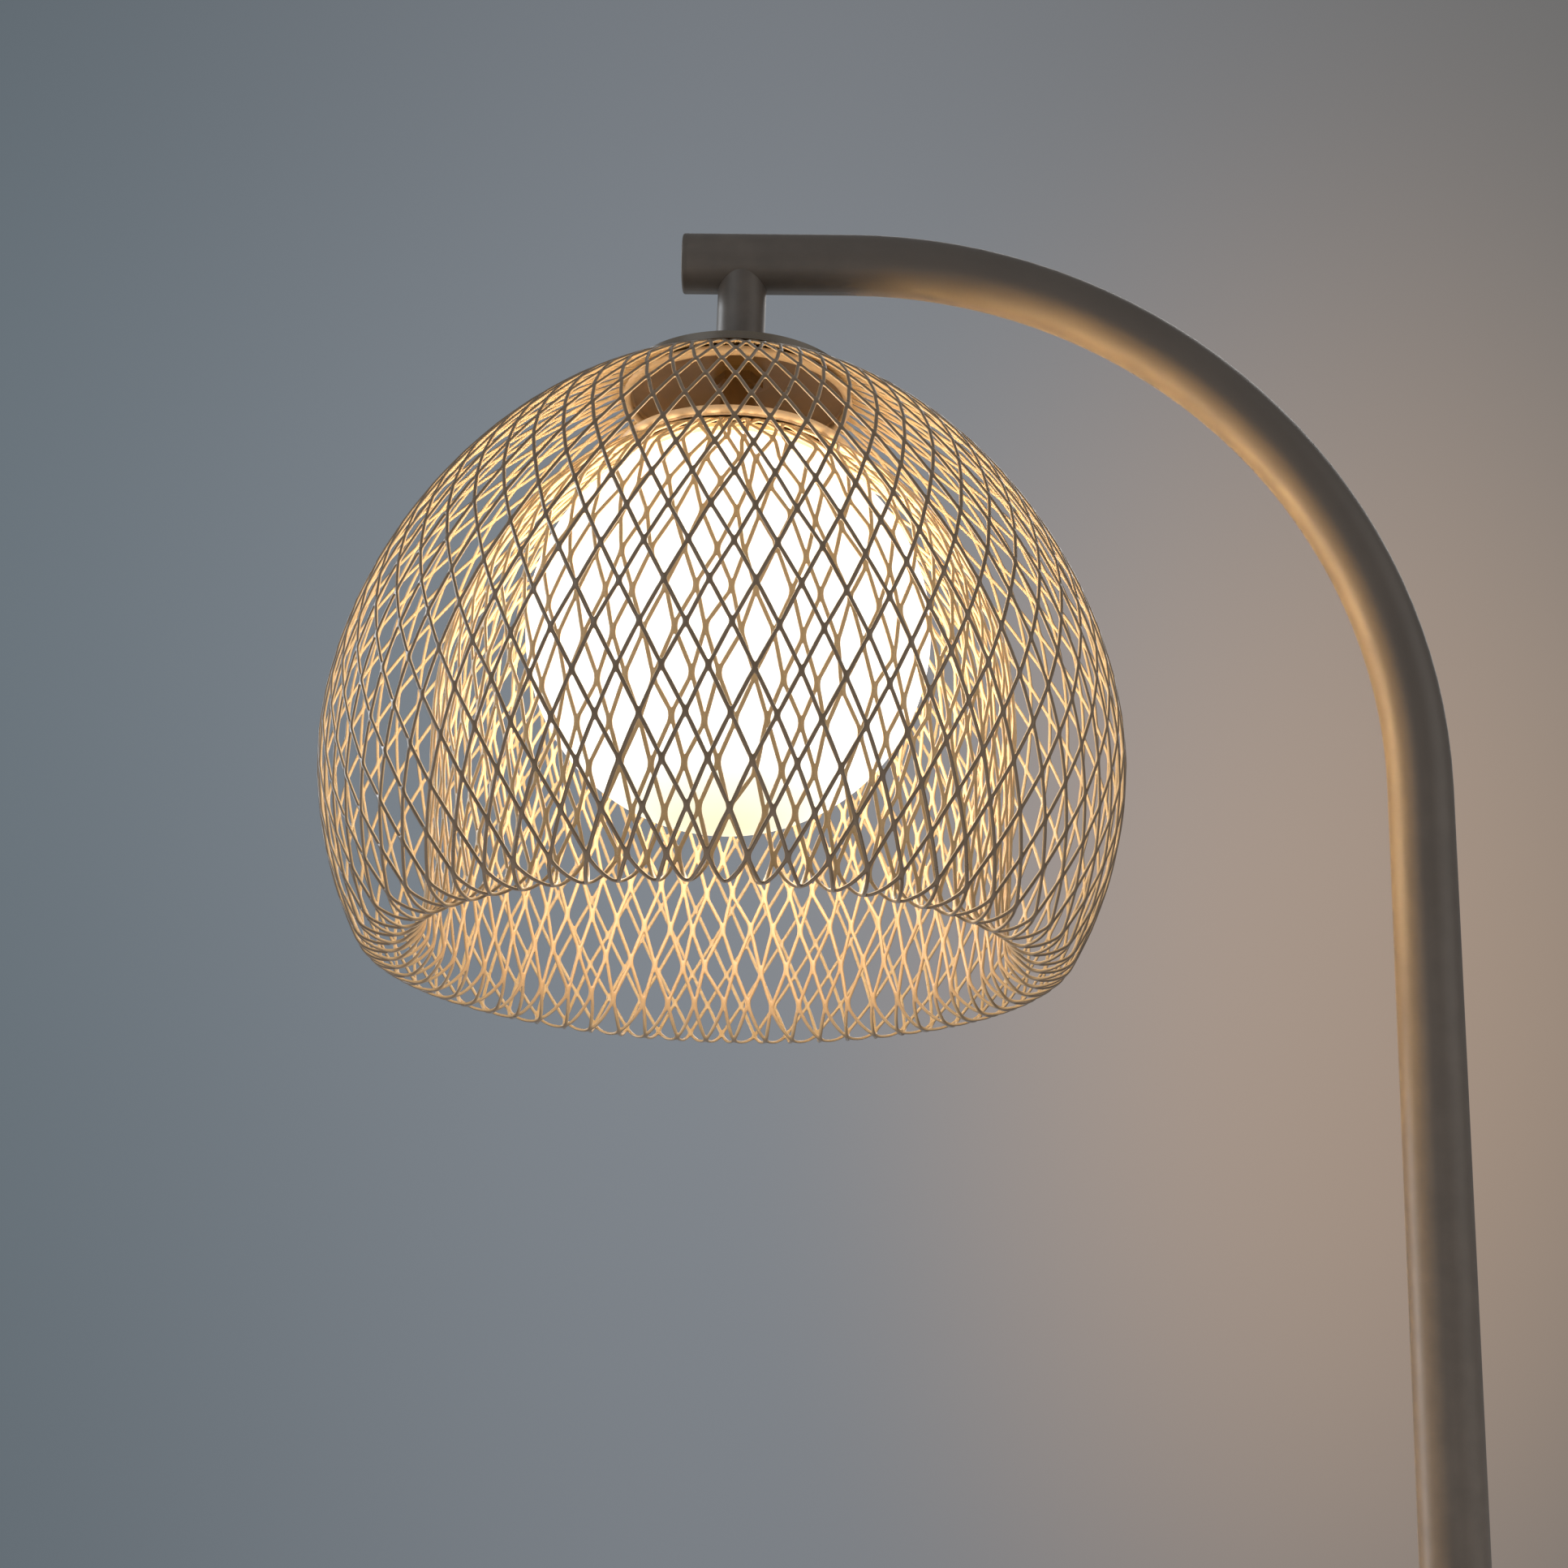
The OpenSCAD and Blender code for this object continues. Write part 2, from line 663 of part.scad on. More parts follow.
module opal_globe() {
    inside_r = globe_r - globe_wall;
    color("#fbf7ee") at_shade() difference() {
        translate([0, 0, globe_level]) rotate_extrude() difference() {
            intersection() {
                circle(r = globe_r, $fn = 180);
                translate([0, -globe_r]) square([globe_r, globe_r + globe_top - globe_level]);
            }
            intersection() {
                circle(r = inside_r, $fn = 180);
                translate([0, -globe_r]) square([globe_r, globe_r + globe_top - lip_h - globe_level]);
            }
        }
        translate([0, 0, globe_top - lip_h]) hole(lip_bore, lip_h);
    }
}

/* Lampholder and bulb */
module lampholder_body() {
    shell_seat = shell_bore + 2 * shell_wall + slip;
    color("#ece8de") at_shade(holder_end) difference() {
        cylinder(d = holder_d, h = holder_len);
        translate([0, 0, -cut]) cylinder(d = shell_seat, h = shell_top - holder_end + cut);
        hole(lead_hole_d, holder_len);
        translate([0, 0, holder_len - holder_web]) hole(rod_d + slip, holder_web);
    }
}

module lampholder_shell() {
    color("#c7a765") at_shade(shell_top - contact_t - shell_len)
        ring(shell_bore + 2 * shell_wall, shell_bore, shell_len);
}

module lampholder_contact() {
    color("#d0b070") at_shade(shell_top - contact_t) cylinder(d = contact_d, h = contact_t);
}

module bulb_cap() {
    tip_d = 5;
    tip_h = 2;
    shoulder_h = 4;
    color("#b9bcc0") at_shade(bulb_tip) rotate([180, 0, 0]) rotate_extrude() polygon([
        [0, 0], [tip_d / 2, 0], [tip_d / 2, tip_h], [bulb_cap_d / 2, tip_h + shoulder_h],
        [bulb_cap_d / 2, bulb_cap_len], [0, bulb_cap_len]]);
}

// Half outline of the bulb round the centre of its ball, up to a straight neck
module bulb_outline(ball, neck, top, past = 0) {
    touch = 30;
    straight = max(bulb_tip - bulb_cap_len - holder_end, 0) + seat_gap;
    intersection() {
        circle(r = ball);
        translate([0, -ball]) square([ball, 2 * ball]);
    }
    polygon([[0, 0], [ball * cos(touch), ball * sin(touch)], [neck, top - straight],
             [neck, top + past], [0, top + past]]);
}

module bulb_glass() {
    neck_r = bulb_cap_d / 2 - seat_gap;
    ball_r = bulb_d / 2;
    top = bulb_len - ball_r - bulb_cap_len;
    color("#fff6e0") at_shade(bulb_tip - bulb_len + ball_r) rotate_extrude() difference() {
        bulb_outline(ball_r, neck_r, top);
        bulb_outline(ball_r - bulb_wall, neck_r - bulb_wall, top, cut);
    }
}

/* Wiring */
function bend(centre, r, from, to, steps) = [for (i = [0 : steps])
    let (a = from + (to - from) * i / steps) centre + r * [cos(a), 0, sin(a)]];

module inner_lead() {
    foot_end_x = block_x + block_l / 2;
    low_z = chamber_z + lead_d / 2 + seat_gap;
    route = concat(
        [[shade_x, 0, shade_z + lead_top_end]],
        bend([shade_x + lead_bend_top, 0, arm_h - lead_bend_top], lead_bend_top, 180, 90, 5),
        bend([pole_x - bend_r, 0, arm_h - bend_r], bend_r, 90, 0, 15),
        bend([pole_x - lead_bend_foot, 0, low_z + lead_bend_foot], lead_bend_foot, 0, -90, 5),
        [[foot_end_x, 0, low_z]]
    );
    color("#e6e2d8") lead(route, lead_d);
}

base_pad();
bottom_plate();
plate_screws();
base_weight();
base_cover();
cord_gland();
terminal_block();
terminal_screws();
pole_foot();
foot_stud();
foot_washer();
foot_nut();
arm_tube();
arm_plug();
neck_tube();
neck_bush();
threaded_rod();
rod_nuts();
shade_cap();
mesh_retainer();
mesh_shade();
spacer_tube();
inner_plate();
globe_collar();
globe_gasket();
opal_globe();
lampholder_body();
lampholder_shell();
lampholder_contact();
bulb_cap();
bulb_glass();
inner_lead();
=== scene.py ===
# A mesh table lamp: the finish of every surface, the full net of the shade, the light and the camera.
# Metres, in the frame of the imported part: +Z up, pole at +X, shade at -X, camera on the -Y side.
import json
import math
import random

import bmesh
import bpy
from mathutils import Matrix, Vector

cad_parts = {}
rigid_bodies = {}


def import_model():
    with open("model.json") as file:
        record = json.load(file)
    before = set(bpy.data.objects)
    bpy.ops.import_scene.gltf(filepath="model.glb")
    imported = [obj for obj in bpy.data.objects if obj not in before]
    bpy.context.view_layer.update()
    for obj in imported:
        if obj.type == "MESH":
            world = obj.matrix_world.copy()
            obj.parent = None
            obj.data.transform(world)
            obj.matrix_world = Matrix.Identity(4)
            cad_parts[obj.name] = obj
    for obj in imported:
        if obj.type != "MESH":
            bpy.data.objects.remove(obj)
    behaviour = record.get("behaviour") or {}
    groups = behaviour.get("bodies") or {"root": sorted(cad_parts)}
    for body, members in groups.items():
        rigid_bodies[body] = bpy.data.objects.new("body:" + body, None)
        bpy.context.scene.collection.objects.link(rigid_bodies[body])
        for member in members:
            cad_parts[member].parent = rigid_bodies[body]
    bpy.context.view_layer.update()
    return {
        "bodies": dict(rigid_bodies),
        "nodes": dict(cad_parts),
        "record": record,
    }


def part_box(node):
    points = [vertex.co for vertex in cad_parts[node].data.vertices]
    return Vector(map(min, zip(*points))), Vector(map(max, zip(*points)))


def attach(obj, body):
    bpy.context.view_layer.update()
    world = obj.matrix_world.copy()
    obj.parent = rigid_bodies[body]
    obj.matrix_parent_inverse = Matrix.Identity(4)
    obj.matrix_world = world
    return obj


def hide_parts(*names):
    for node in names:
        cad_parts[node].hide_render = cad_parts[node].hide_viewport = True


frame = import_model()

nodes = frame["nodes"]
MM = 0.001

# Places that come from the frame
GLOBE_LOW, GLOBE_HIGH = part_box("opal_globe")
BULB_LOW, BULB_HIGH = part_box("bulb_glass")
RETAINER_LOW, RETAINER_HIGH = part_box("mesh_retainer")
GLOBE_R = (GLOBE_HIGH[0] - GLOBE_LOW[0]) / 2
RETAINER_R = (RETAINER_HIGH[0] - RETAINER_LOW[0]) / 2
AXIS_X = (GLOBE_LOW[0] + GLOBE_HIGH[0]) / 2
GLOBE_Z = GLOBE_LOW[2] + GLOBE_R
# Height of the globe's centre over the widest level of the shade
GLOBE_LEVEL = 44.5 * MM
WIDEST_Z = GLOBE_Z - GLOBE_LEVEL

# The camera of the photograph, found from the knots of the net and the edges of the tubes
CAMERA_AT = (AXIS_X + 57.3 * MM, -798.6 * MM, 46.8 * MM)
CAMERA_PAN = math.radians(2.73)
CAMERA_PITCH = math.radians(18.10)
CAMERA_ROLL = math.radians(1.86)
CAMERA_LENS = 61.92
CAMERA_NEAR = 0.01
SENSOR = 36


def make_camera():
    data = bpy.data.cameras.new("camera")
    data.sensor_fit = "HORIZONTAL"
    data.sensor_width = SENSOR
    data.lens = CAMERA_LENS
    data.clip_start = CAMERA_NEAR
    camera = bpy.data.objects.new("camera", data)
    bpy.context.scene.collection.objects.link(camera)
    pitch = Matrix.Rotation(math.pi / 2 + CAMERA_PITCH, 4, "X")
    turn = Matrix.Rotation(CAMERA_PAN, 4, "Z") @ pitch @ Matrix.Rotation(CAMERA_ROLL, 4, "Z")
    camera.matrix_world = Matrix.Translation(CAMERA_AT) @ turn
    bpy.context.scene.camera = camera


# Node trees

def shade_of(colour, factor):
    return tuple(min(1.0, c * factor) for c in colour)


class Nodes:
    """Short calls that add nodes to one tree. A value that is a socket is linked, any other is written."""

    def __init__(self, tree):
        self.tree = tree

    def add(self, kind, **settings):
        node = self.tree.nodes.new(kind)
        for key, value in settings.items():
            setattr(node, key, value)
        return node

    def feed(self, target, value):
        if isinstance(value, bpy.types.NodeSocket):
            self.tree.links.new(value, target)
        elif target.type == "RGBA":
            target.default_value = (*value, 1)
        else:
            target.default_value = value

    def blend(self, a, b, share=1.0, kind="MIX"):
        node = self.add("ShaderNodeMix", data_type="RGBA", blend_type=kind)
        self.feed(node.inputs["Factor"], share)
        self.feed(node.inputs["A"], a)
        self.feed(node.inputs["B"], b)
        return node.outputs["Result"]

    def product(self, a, b):
        return self.blend(a, b, kind="MULTIPLY")

    def vector(self, operation, a, b=None, result="Vector"):
        node = self.add("ShaderNodeVectorMath", operation=operation)
        self.feed(node.inputs[0], a)
        if b is not None:
            self.feed(node.inputs[1], b)
        return node.outputs[result]

    def total(self, a, b):
        """Sum of two numbers, kept between 0 and 1."""
        node = self.add("ShaderNodeMath", operation="ADD", use_clamp=True)
        self.feed(node.inputs[0], a)
        self.feed(node.inputs[1], b)
        return node.outputs[0]

    def axis(self, name, source):
        split = self.add("ShaderNodeSeparateXYZ")
        self.feed(split.inputs["Vector"], source)
        return split.outputs[name]

    def scale_to(self, source, low, high, given=(0.0, 1.0), curve="LINEAR"):
        """Maps the given range of the source to low and high."""
        node = self.add("ShaderNodeMapRange", interpolation_type=curve)
        self.feed(node.inputs["Value"], source)
        node.inputs["From Min"].default_value, node.inputs["From Max"].default_value = given
        node.inputs["To Min"].default_value = low
        node.inputs["To Max"].default_value = high
        return node.outputs["Result"]

    def ramp(self, source, stops, curve="LINEAR"):
        node = self.add("ShaderNodeValToRGB")
        node.color_ramp.interpolation = curve
        elements = node.color_ramp.elements
        while len(elements) < len(stops):
            elements.new(0.5)
        for element, (position, colour) in zip(elements, stops):
            element.position = position
            element.color = (*colour, 1)
        self.feed(node.inputs["Fac"], source)
        return node.outputs["Color"]


class Shader(Nodes):
    """A new material with its Principled shader, whose nodes go by the place on the piece."""

    def __init__(self, name):
        self.material = bpy.data.materials.new(name)
        self.material.use_nodes = True
        super().__init__(self.material.node_tree)
        self.bsdf = self.tree.nodes["Principled BSDF"]
        self.place = self.add("ShaderNodeTexCoord").outputs["Object"]

    def noise(self, size, detail=3.0, roughness=0.5, stretch=(1, 1, 1)):
        """Noise whose lumps are about size metres across."""
        mapping = self.add("ShaderNodeMapping")
        self.feed(mapping.inputs["Vector"], self.place)
        mapping.inputs["Scale"].default_value = [s / size for s in stretch]
        node = self.add("ShaderNodeTexNoise")
        self.feed(node.inputs["Vector"], mapping.outputs["Vector"])
        node.inputs["Scale"].default_value = 1.0
        node.inputs["Detail"].default_value = detail
        node.inputs["Roughness"].default_value = roughness
        return node.outputs["Fac"]

    def mottled(self, colour, source, factors, stops=(0.30, 0.70)):
        """The colour, made darker to lighter by the two factors as the source runs from stop to stop."""
        return self.ramp(source, [(stop, shade_of(colour, factor)) for stop, factor in zip(stops, factors)])

    def reach(self, centre, radii):
        """Distance from the centre, in those radii along X, Y and Z."""
        mapping = self.add("ShaderNodeMapping", vector_type="TEXTURE")
        self.feed(mapping.inputs["Vector"], self.place)
        mapping.inputs["Location"].default_value = centre
        mapping.inputs["Scale"].default_value = radii
        return self.vector("LENGTH", mapping.outputs["Vector"], result="Value")

    def coloured(self, colour):
        self.feed(self.bsdf.inputs["Base Color"], colour)

    def glossed(self, source, dull):
        """Roughness between the two values of dull, as the source varies."""
        self.feed(self.bsdf.inputs["Roughness"], self.scale_to(source, *dull))

    def bump(self, source, depth, strength=0.5):
        node = self.add("ShaderNodeBump")
        self.feed(node.inputs["Height"], source)
        node.inputs["Distance"].default_value = depth
        node.inputs["Strength"].default_value = strength
        self.feed(self.bsdf.inputs["Normal"], node.outputs["Normal"])

    def set(self, **values):
        for key, value in values.items():
            self.bsdf.inputs[key.replace("_", " ")].default_value = value


# Materials

def lacquer(name, colour):
    """Satin lacquer on metal: faint cloudiness, a fine orange peel and rubbed edges."""
    s = Shader(name)
    cloud = s.mottled(colour, s.noise(38 * MM), (0.93, 1.07))
    speck = s.mottled(colour, s.noise(0.35 * MM, 1.0), (0.96, 1.5), (0.62, 0.78))
    speckled = s.blend(cloud, speck, s.scale_to(s.noise(0.7 * MM, 1.0), 0.0, 0.35))
    paler = s.mottled(colour, s.noise(6 * MM), (1.0, 1.45))
    edge = s.add("ShaderNodeNewGeometry").outputs["Pointiness"]
    rubbed = s.ramp(edge, [(0.50, (0, 0, 0)), (0.60, (0.5, 0.5, 0.5))])
    s.coloured(s.blend(speckled, paler, rubbed))
    s.glossed(s.noise(9 * MM, 4.0), (0.40, 0.52))
    s.bump(s.noise(0.9 * MM, 2.0), 0.02 * MM)
    s.set(Metallic=0.0, IOR=1.5)
    return s.material


def plated(name, colour, dull=(0.25, 0.42), stretch=(1, 1, 1)):
    """Plated or turned metal with a fine grain and dull patches."""
    s = Shader(name)
    s.coloured(s.mottled(colour, s.noise(12 * MM), (0.88, 1.06), (0.25, 0.75)))
    s.glossed(s.noise(5 * MM, 5.0), dull)
    s.bump(s.noise(0.4 * MM, 3.0, stretch=stretch), 0.01 * MM)
    s.set(Metallic=1.0)
    return s.material


def cast_iron(name, colour):
    s = Shader(name)
    s.coloured(s.mottled(colour, s.noise(9 * MM, 6.0), (0.75, 1.25), (0.30, 0.72)))
    s.glossed(s.noise(4 * MM, 5.0), (0.62, 0.82))
    s.bump(s.noise(1.6 * MM, 5.0, 0.6), 0.25 * MM, 0.7)
    s.set(Metallic=0.6)
    return s.material


def moulded(name, colour, dull=(0.42, 0.58)):
    """Moulded plastic or rubber with a fine spark-eroded texture."""
    s = Shader(name)
    s.coloured(s.mottled(colour, s.noise(20 * MM), (0.95, 1.04)))
    s.glossed(s.noise(6 * MM), dull)
    s.bump(s.noise(0.3 * MM, 2.0), 0.015 * MM)
    return s.material


def felt(name, colour):
    """Pressed felt: matted fibres in two directions."""
    s = Shader(name)
    along = s.noise(0.5 * MM, 4.0, 0.7, (0.25, 1.6, 1))
    across = s.noise(0.5 * MM, 4.0, 0.7, (1.6, 0.25, 1))
    matted = s.blend(along, across, s.noise(1.5 * MM, 2.0))
    s.coloured(s.mottled(colour, matted, (0.6, 1.7), (0.35, 0.68)))
    s.bump(matted, 0.3 * MM, 0.8)
    s.set(Roughness=0.95, Sheen_Weight=0.4, Sheen_Roughness=0.5)
    return s.material


# Opal glass glows evenly and turns yellower and dimmer towards its lowest point, by the share of the height
OPAL_GLOW_COLOURS = [(0.0, (0.74, 0.68, 0.42)), (0.03, (0.80, 0.77, 0.58)), (0.11, (0.98, 0.9653, 0.9114)),
                     (1.0, (1.0, 0.985, 0.93))]
OPAL_GLOW = 1.15
OPAL_UNLIT = [(0.3, (0.20, 0.19, 0.17)), (0.7, (0.24, 0.23, 0.21))]


def opal(name, low_z, high_z):
    s = Shader(name)
    glow = s.ramp(s.scale_to(s.axis("Z", s.place), 0.0, 1.0, (low_z, high_z)), OPAL_GLOW_COLOURS)
    veil = s.mottled((1, 1, 1), s.noise(25 * MM, 2.0), (0.97, 1))
    s.feed(s.bsdf.inputs["Emission Color"], s.product(glow, veil))
    s.coloured(s.ramp(s.noise(30 * MM), OPAL_UNLIT))
    s.glossed(s.noise(8 * MM), (0.30, 0.38))
    s.bump(s.noise(7 * MM, 1.0), 0.03 * MM, 0.4)
    s.set(Emission_Strength=OPAL_GLOW, IOR=1.5)
    return s.material


# Painted light and shade on the shade's lacquer: darker at the mouth of the shade and paler near its top, by
# the share of this span
SHADE_PAINTED_LIGHT_BY_HEIGHT = [(0.0, (0.72, 0.69, 0.64)), (0.12, (0.86, 0.85, 0.82)), (0.36, (1, 1, 1)),
               (1.0, (1.2, 1.18, 1.1))]
SHADE_SPAN = (WIDEST_Z - 62 * MM, WIDEST_Z + 120 * MM)
# The globe and the table light what faces down, so what counts as turned away is raised by this
LIFT = (0, 0, 0.2)
# Radii of an egg round the shade's axis that passes between the two layers, and the shares of them over which
# the inner layer's colours give way
BETWEEN_LAYERS = (108 * MM, 108 * MM, 124 * MM)
INNER_ENDS = (0.960, 0.999)


def lacquer_with_painted_light(name, outer, inner=None, sides=(-0.10, 0.50)):
    """Satin lacquer of the shade, with painted light. outer and inner are a layer's colours, turned from and
    towards the globe; the colour towards the globe is painted light from it.
    """
    s = Shader(name)
    outward = s.vector("NORMALIZE", s.vector("SUBTRACT", s.place, (AXIS_X, 0, GLOBE_Z)))
    away = s.vector("NORMALIZE", s.vector("ADD", outward, LIFT))
    normal = s.add("ShaderNodeNewGeometry").outputs["Normal"]
    # Painted light: sides turned towards the globe take the paler colour, as the globe lights them
    painted_light_mask = s.scale_to(s.vector("DOT_PRODUCT", away, normal, "Value"), 0.0, 1.0, sides)

    def layer(colours):
        turned_away, painted_globe_light = [s.mottled(c, s.noise(30 * MM), (0.92, 1.10)) for c in colours]
        return s.blend(painted_globe_light, turned_away, painted_light_mask)

    whole = layer(outer)
    if inner:
        reach = s.reach((AXIS_X, 0, WIDEST_Z), BETWEEN_LAYERS)
        whole = s.blend(layer(inner), whole, s.scale_to(reach, 0.0, 1.0, INNER_ENDS))
    height = s.scale_to(s.axis("Z", s.place), 0.0, 1.0, SHADE_SPAN)
    # Painted light and shade by height: darker at the mouth, paler near the top
    whole = s.product(whole, s.ramp(height, SHADE_PAINTED_LIGHT_BY_HEIGHT))
    speck = s.ramp(s.noise(0.5 * MM, 1.0), [(0.60, (1, 1, 1)), (0.80, (1.25, 1.22, 1.2))])
    s.coloured(s.product(whole, speck))
    s.glossed(s.noise(9 * MM, 4.0), (0.24, 0.34))
    s.bump(s.noise(0.5 * MM, 2.0), 0.02 * MM)
    return s.material


# Shares of the radius over which the rim's painted light takes over, and a reach without end along the axis
RIM_STARTS = (0.985, 1.015)
ENDLESS = 1e6


def plate_painted_with_light(name, middle, rim, radius):
    """Lacquered plate round the shade's axis with painted light: the middle is painted shade, and the rolled
    rim beyond radius is painted light from the globe.
    """
    s = Shader(name)
    rim_light_mask = s.scale_to(s.reach((AXIS_X, 0, 0), (radius, radius, ENDLESS)), 0.0, 1.0, RIM_STARTS)
    tones = [s.mottled(c, s.noise(14 * MM), (0.90, 1.10)) for c in (middle, rim)]
    s.coloured(s.blend(*tones, rim_light_mask))
    s.glossed(s.noise(9 * MM, 4.0), (0.34, 0.46))
    s.bump(s.noise(0.9 * MM, 2.0), 0.02 * MM)
    s.set(Specular_IOR_Level=0.3)
    return s.material


TAUPE = (0.066, 0.053, 0.043)
TAUPE_CAP = (0.082, 0.068, 0.054)
# Painted light: the cap's underside is painted peach as the globe lights it; CAP_SIDES sets how far round it
# reaches
CAP_UNDERSIDE_PAINTED_LIGHT = (0.46, 0.32, 0.18)
CAP_SIDES = (-0.7, -0.3)
# The net's two layers, each away from the globe and towards it. The colour towards the globe is painted light
# from it, and the inner layer's colours are paler still with painted light from the globe.
NET_OUTER = ((0.120, 0.084, 0.053), (0.61, 0.440, 0.245))
NET_INNER = ((0.38, 0.265, 0.132), (0.58, 0.390, 0.215))
# Painted warm shade on the retainer and, darker, on the spacer and nuts, and painted light from the globe on
# the retainer's rolled rim
RETAINER_PAINTED_SHADE = (0.235, 0.130, 0.034)
PAINTED_DEEP_SHADE = (0.175, 0.088, 0.022)
RIM_PAINTED_LIGHT = (0.70, 0.50, 0.27)
TAN = (0.62, 0.46, 0.27)
RETAINER_ROLL = 2.7 * MM

# Finishes by the material slots of the record
finishes = {
    "lacquered_steel": lacquer("satin_taupe_lacquer", TAUPE),
    "shade_lacquer": lacquer_with_painted_light("satin_cap_lacquer_painted_light", (TAUPE_CAP, CAP_UNDERSIDE_PAINTED_LIGHT), sides=CAP_SIDES),
    "net_lacquer": lacquer_with_painted_light("satin_net_lacquer_painted_light", NET_OUTER, NET_INNER),
    "plate_tan": lacquer("satin_plate_lacquer", TAN),
    "cast_weight": cast_iron("rough_cast_iron", (0.06, 0.06, 0.062)),
    "plated_steel": plated("zinc_plated_steel", (0.55, 0.56, 0.58)),
    "brass": plated("turned_brass", (0.72, 0.52, 0.23), stretch=(0.3, 0.3, 3.0)),
    "felt": felt("black_felt", (0.028, 0.026, 0.025)),
    "gland_plastic": moulded("dark_nylon", (0.035, 0.031, 0.028)),
    "terminal_plastic": moulded("white_polyamide", (0.76, 0.73, 0.65)),
    "holder_plastic": moulded("white_thermoset", (0.80, 0.77, 0.70), (0.25, 0.36)),
    "opal_glass": opal("lit_opal_glass", GLOBE_LOW[2], GLOBE_HIGH[2]),
    "bulb_glass": opal("lit_bulb_glass", BULB_LOW[2], BULB_HIGH[2]),
    "nickel": plated("nickel_plate", (0.66, 0.64, 0.60), (0.18, 0.3)),
    "gasket": moulded("white_silicone", (0.62, 0.60, 0.55), (0.6, 0.75)),
    "wire_sheath": moulded("white_sheath", (0.74, 0.72, 0.66)),
}

# Pieces between the cap and the inner plate, which stand in warm shade; that shade is painted into their
# colours, and the retainer's rolled rim is painted with light from the globe
shaded = {
    "mesh_retainer": plate_painted_with_light("retainer_painted_shade_and_rim_light", RETAINER_PAINTED_SHADE, RIM_PAINTED_LIGHT, RETAINER_R - RETAINER_ROLL),
    "spacer_tube": lacquer("spacer_painted_deep_shade", PAINTED_DEEP_SHADE),
    "rod_nuts": lacquer("nut_painted_deep_shade", PAINTED_DEEP_SHADE),
}


def dress_cad_nodes():
    for part in frame["record"]["subparts"]:
        for slot in nodes[part["node"]].material_slots:
            slot.material = shaded.get(part["node"], finishes[part["material_slot"]])


# The net: one lattice of strands, from the cap down, round the fold and up to the inner plate

SHADE_R = 124.7 * MM
DOME_RISE = 137.5 * MM
DOME_POWER = 1.82
HEM_ANGLE = math.radians(28.5)
HEM_R = 11 * MM
INNER_R = 91 * MM
INNER_RISE = 101 * MM
INNER_LEVEL = 10 * MM
# Radii between the plates at which the net ends, and the flat middle of the plate over the inner layer
TOP_R = 22 * MM
INNER_TOP_R = 20 * MM
INNER_FLAT_R = 30 * MM
# Steps in each curve of the section, and half as many in the short one under the widest level
CURVE_STEPS = 400

COLUMNS = 62
PITCH = 2 * math.pi / COLUMNS
# Length of a strand from knot to knot, which is the same all over an expanded sheet
STRAND = 14.1 * MM
# Angle of the first knot of the widest row, and how much each row is turned from the one above it
KNOT_ANGLE = CAMERA_PAN + 0.0316
ROW_TWIST = 0.0025

# Sizes on the outer layer and on the inner one: halves of a knot's length, waist and ends, the width of a
# strand, and how far from a knot's middle a strand starts
KNOT_HALF_LONG = (1.15 * MM, 2.00 * MM)
KNOT_HALF_WAIST = (0.76 * MM, 0.82 * MM)
KNOT_HALF_ENDS = (1.20 * MM, 1.24 * MM)
STRAND_WIDTH = (1.34 * MM, 1.40 * MM)
STRAND_START = (0.60 * MM, 0.62 * MM)
STRAND_PLACES = (0.12, 0.5, 0.88)
SHEET = 1.05 * MM
# How far knots stray on the two layers, and how much more where the inner one is bunched under its plate
STRAY = (0.14 * MM, 0.64 * MM)
STRAY_BUNCHED = 0.70 * MM
# Lengths along the net: from the widest level to where the inner sizes begin, over which they grow, and the
# bunched end
INNER_BEGINS = 55 * MM
INNER_GROWS = 40 * MM
BUNCHED = 95 * MM
NET_SEED = 7


def between(sizes, share):
    return sizes[0] + (sizes[1] - sizes[0]) * share


def curve_points():
    """(radius, height over the widest level) along the net, and the number of the first at that level."""
    bulge = 2 / DOME_POWER
    start = math.acos((TOP_R / SHADE_R) ** (1 / bulge))
    points = []
    for i in range(CURVE_STEPS):
        a = start * (1 - i / CURVE_STEPS)
        points.append((SHADE_R * math.cos(a) ** bulge, DOME_RISE * math.sin(a) ** bulge))
    widest = len(points)
    for i in range(CURVE_STEPS // 2):
        a = HEM_ANGLE * i / (CURVE_STEPS // 2)
        points.append((SHADE_R * math.cos(a), -SHADE_R * math.sin(a)))
    hem = ((SHADE_R - HEM_R) * math.cos(HEM_ANGLE), -(SHADE_R - HEM_R) * math.sin(HEM_ANGLE))
    for i in range(CURVE_STEPS):
        a = HEM_ANGLE + (math.pi - HEM_ANGLE) * i / CURVE_STEPS
        points.append((hem[0] + HEM_R * math.cos(a), hem[1] - HEM_R * math.sin(a)))
    end = math.acos(INNER_TOP_R / INNER_R)
    flat_z = INNER_LEVEL + INNER_RISE * math.sqrt(1 - (INNER_FLAT_R / INNER_R) ** 2)
    for i in range(CURVE_STEPS + 1):
        a = end * i / CURVE_STEPS
        points.append((INNER_R * math.cos(a), min(INNER_LEVEL + INNER_RISE * math.sin(a), flat_z)))
    return points, widest


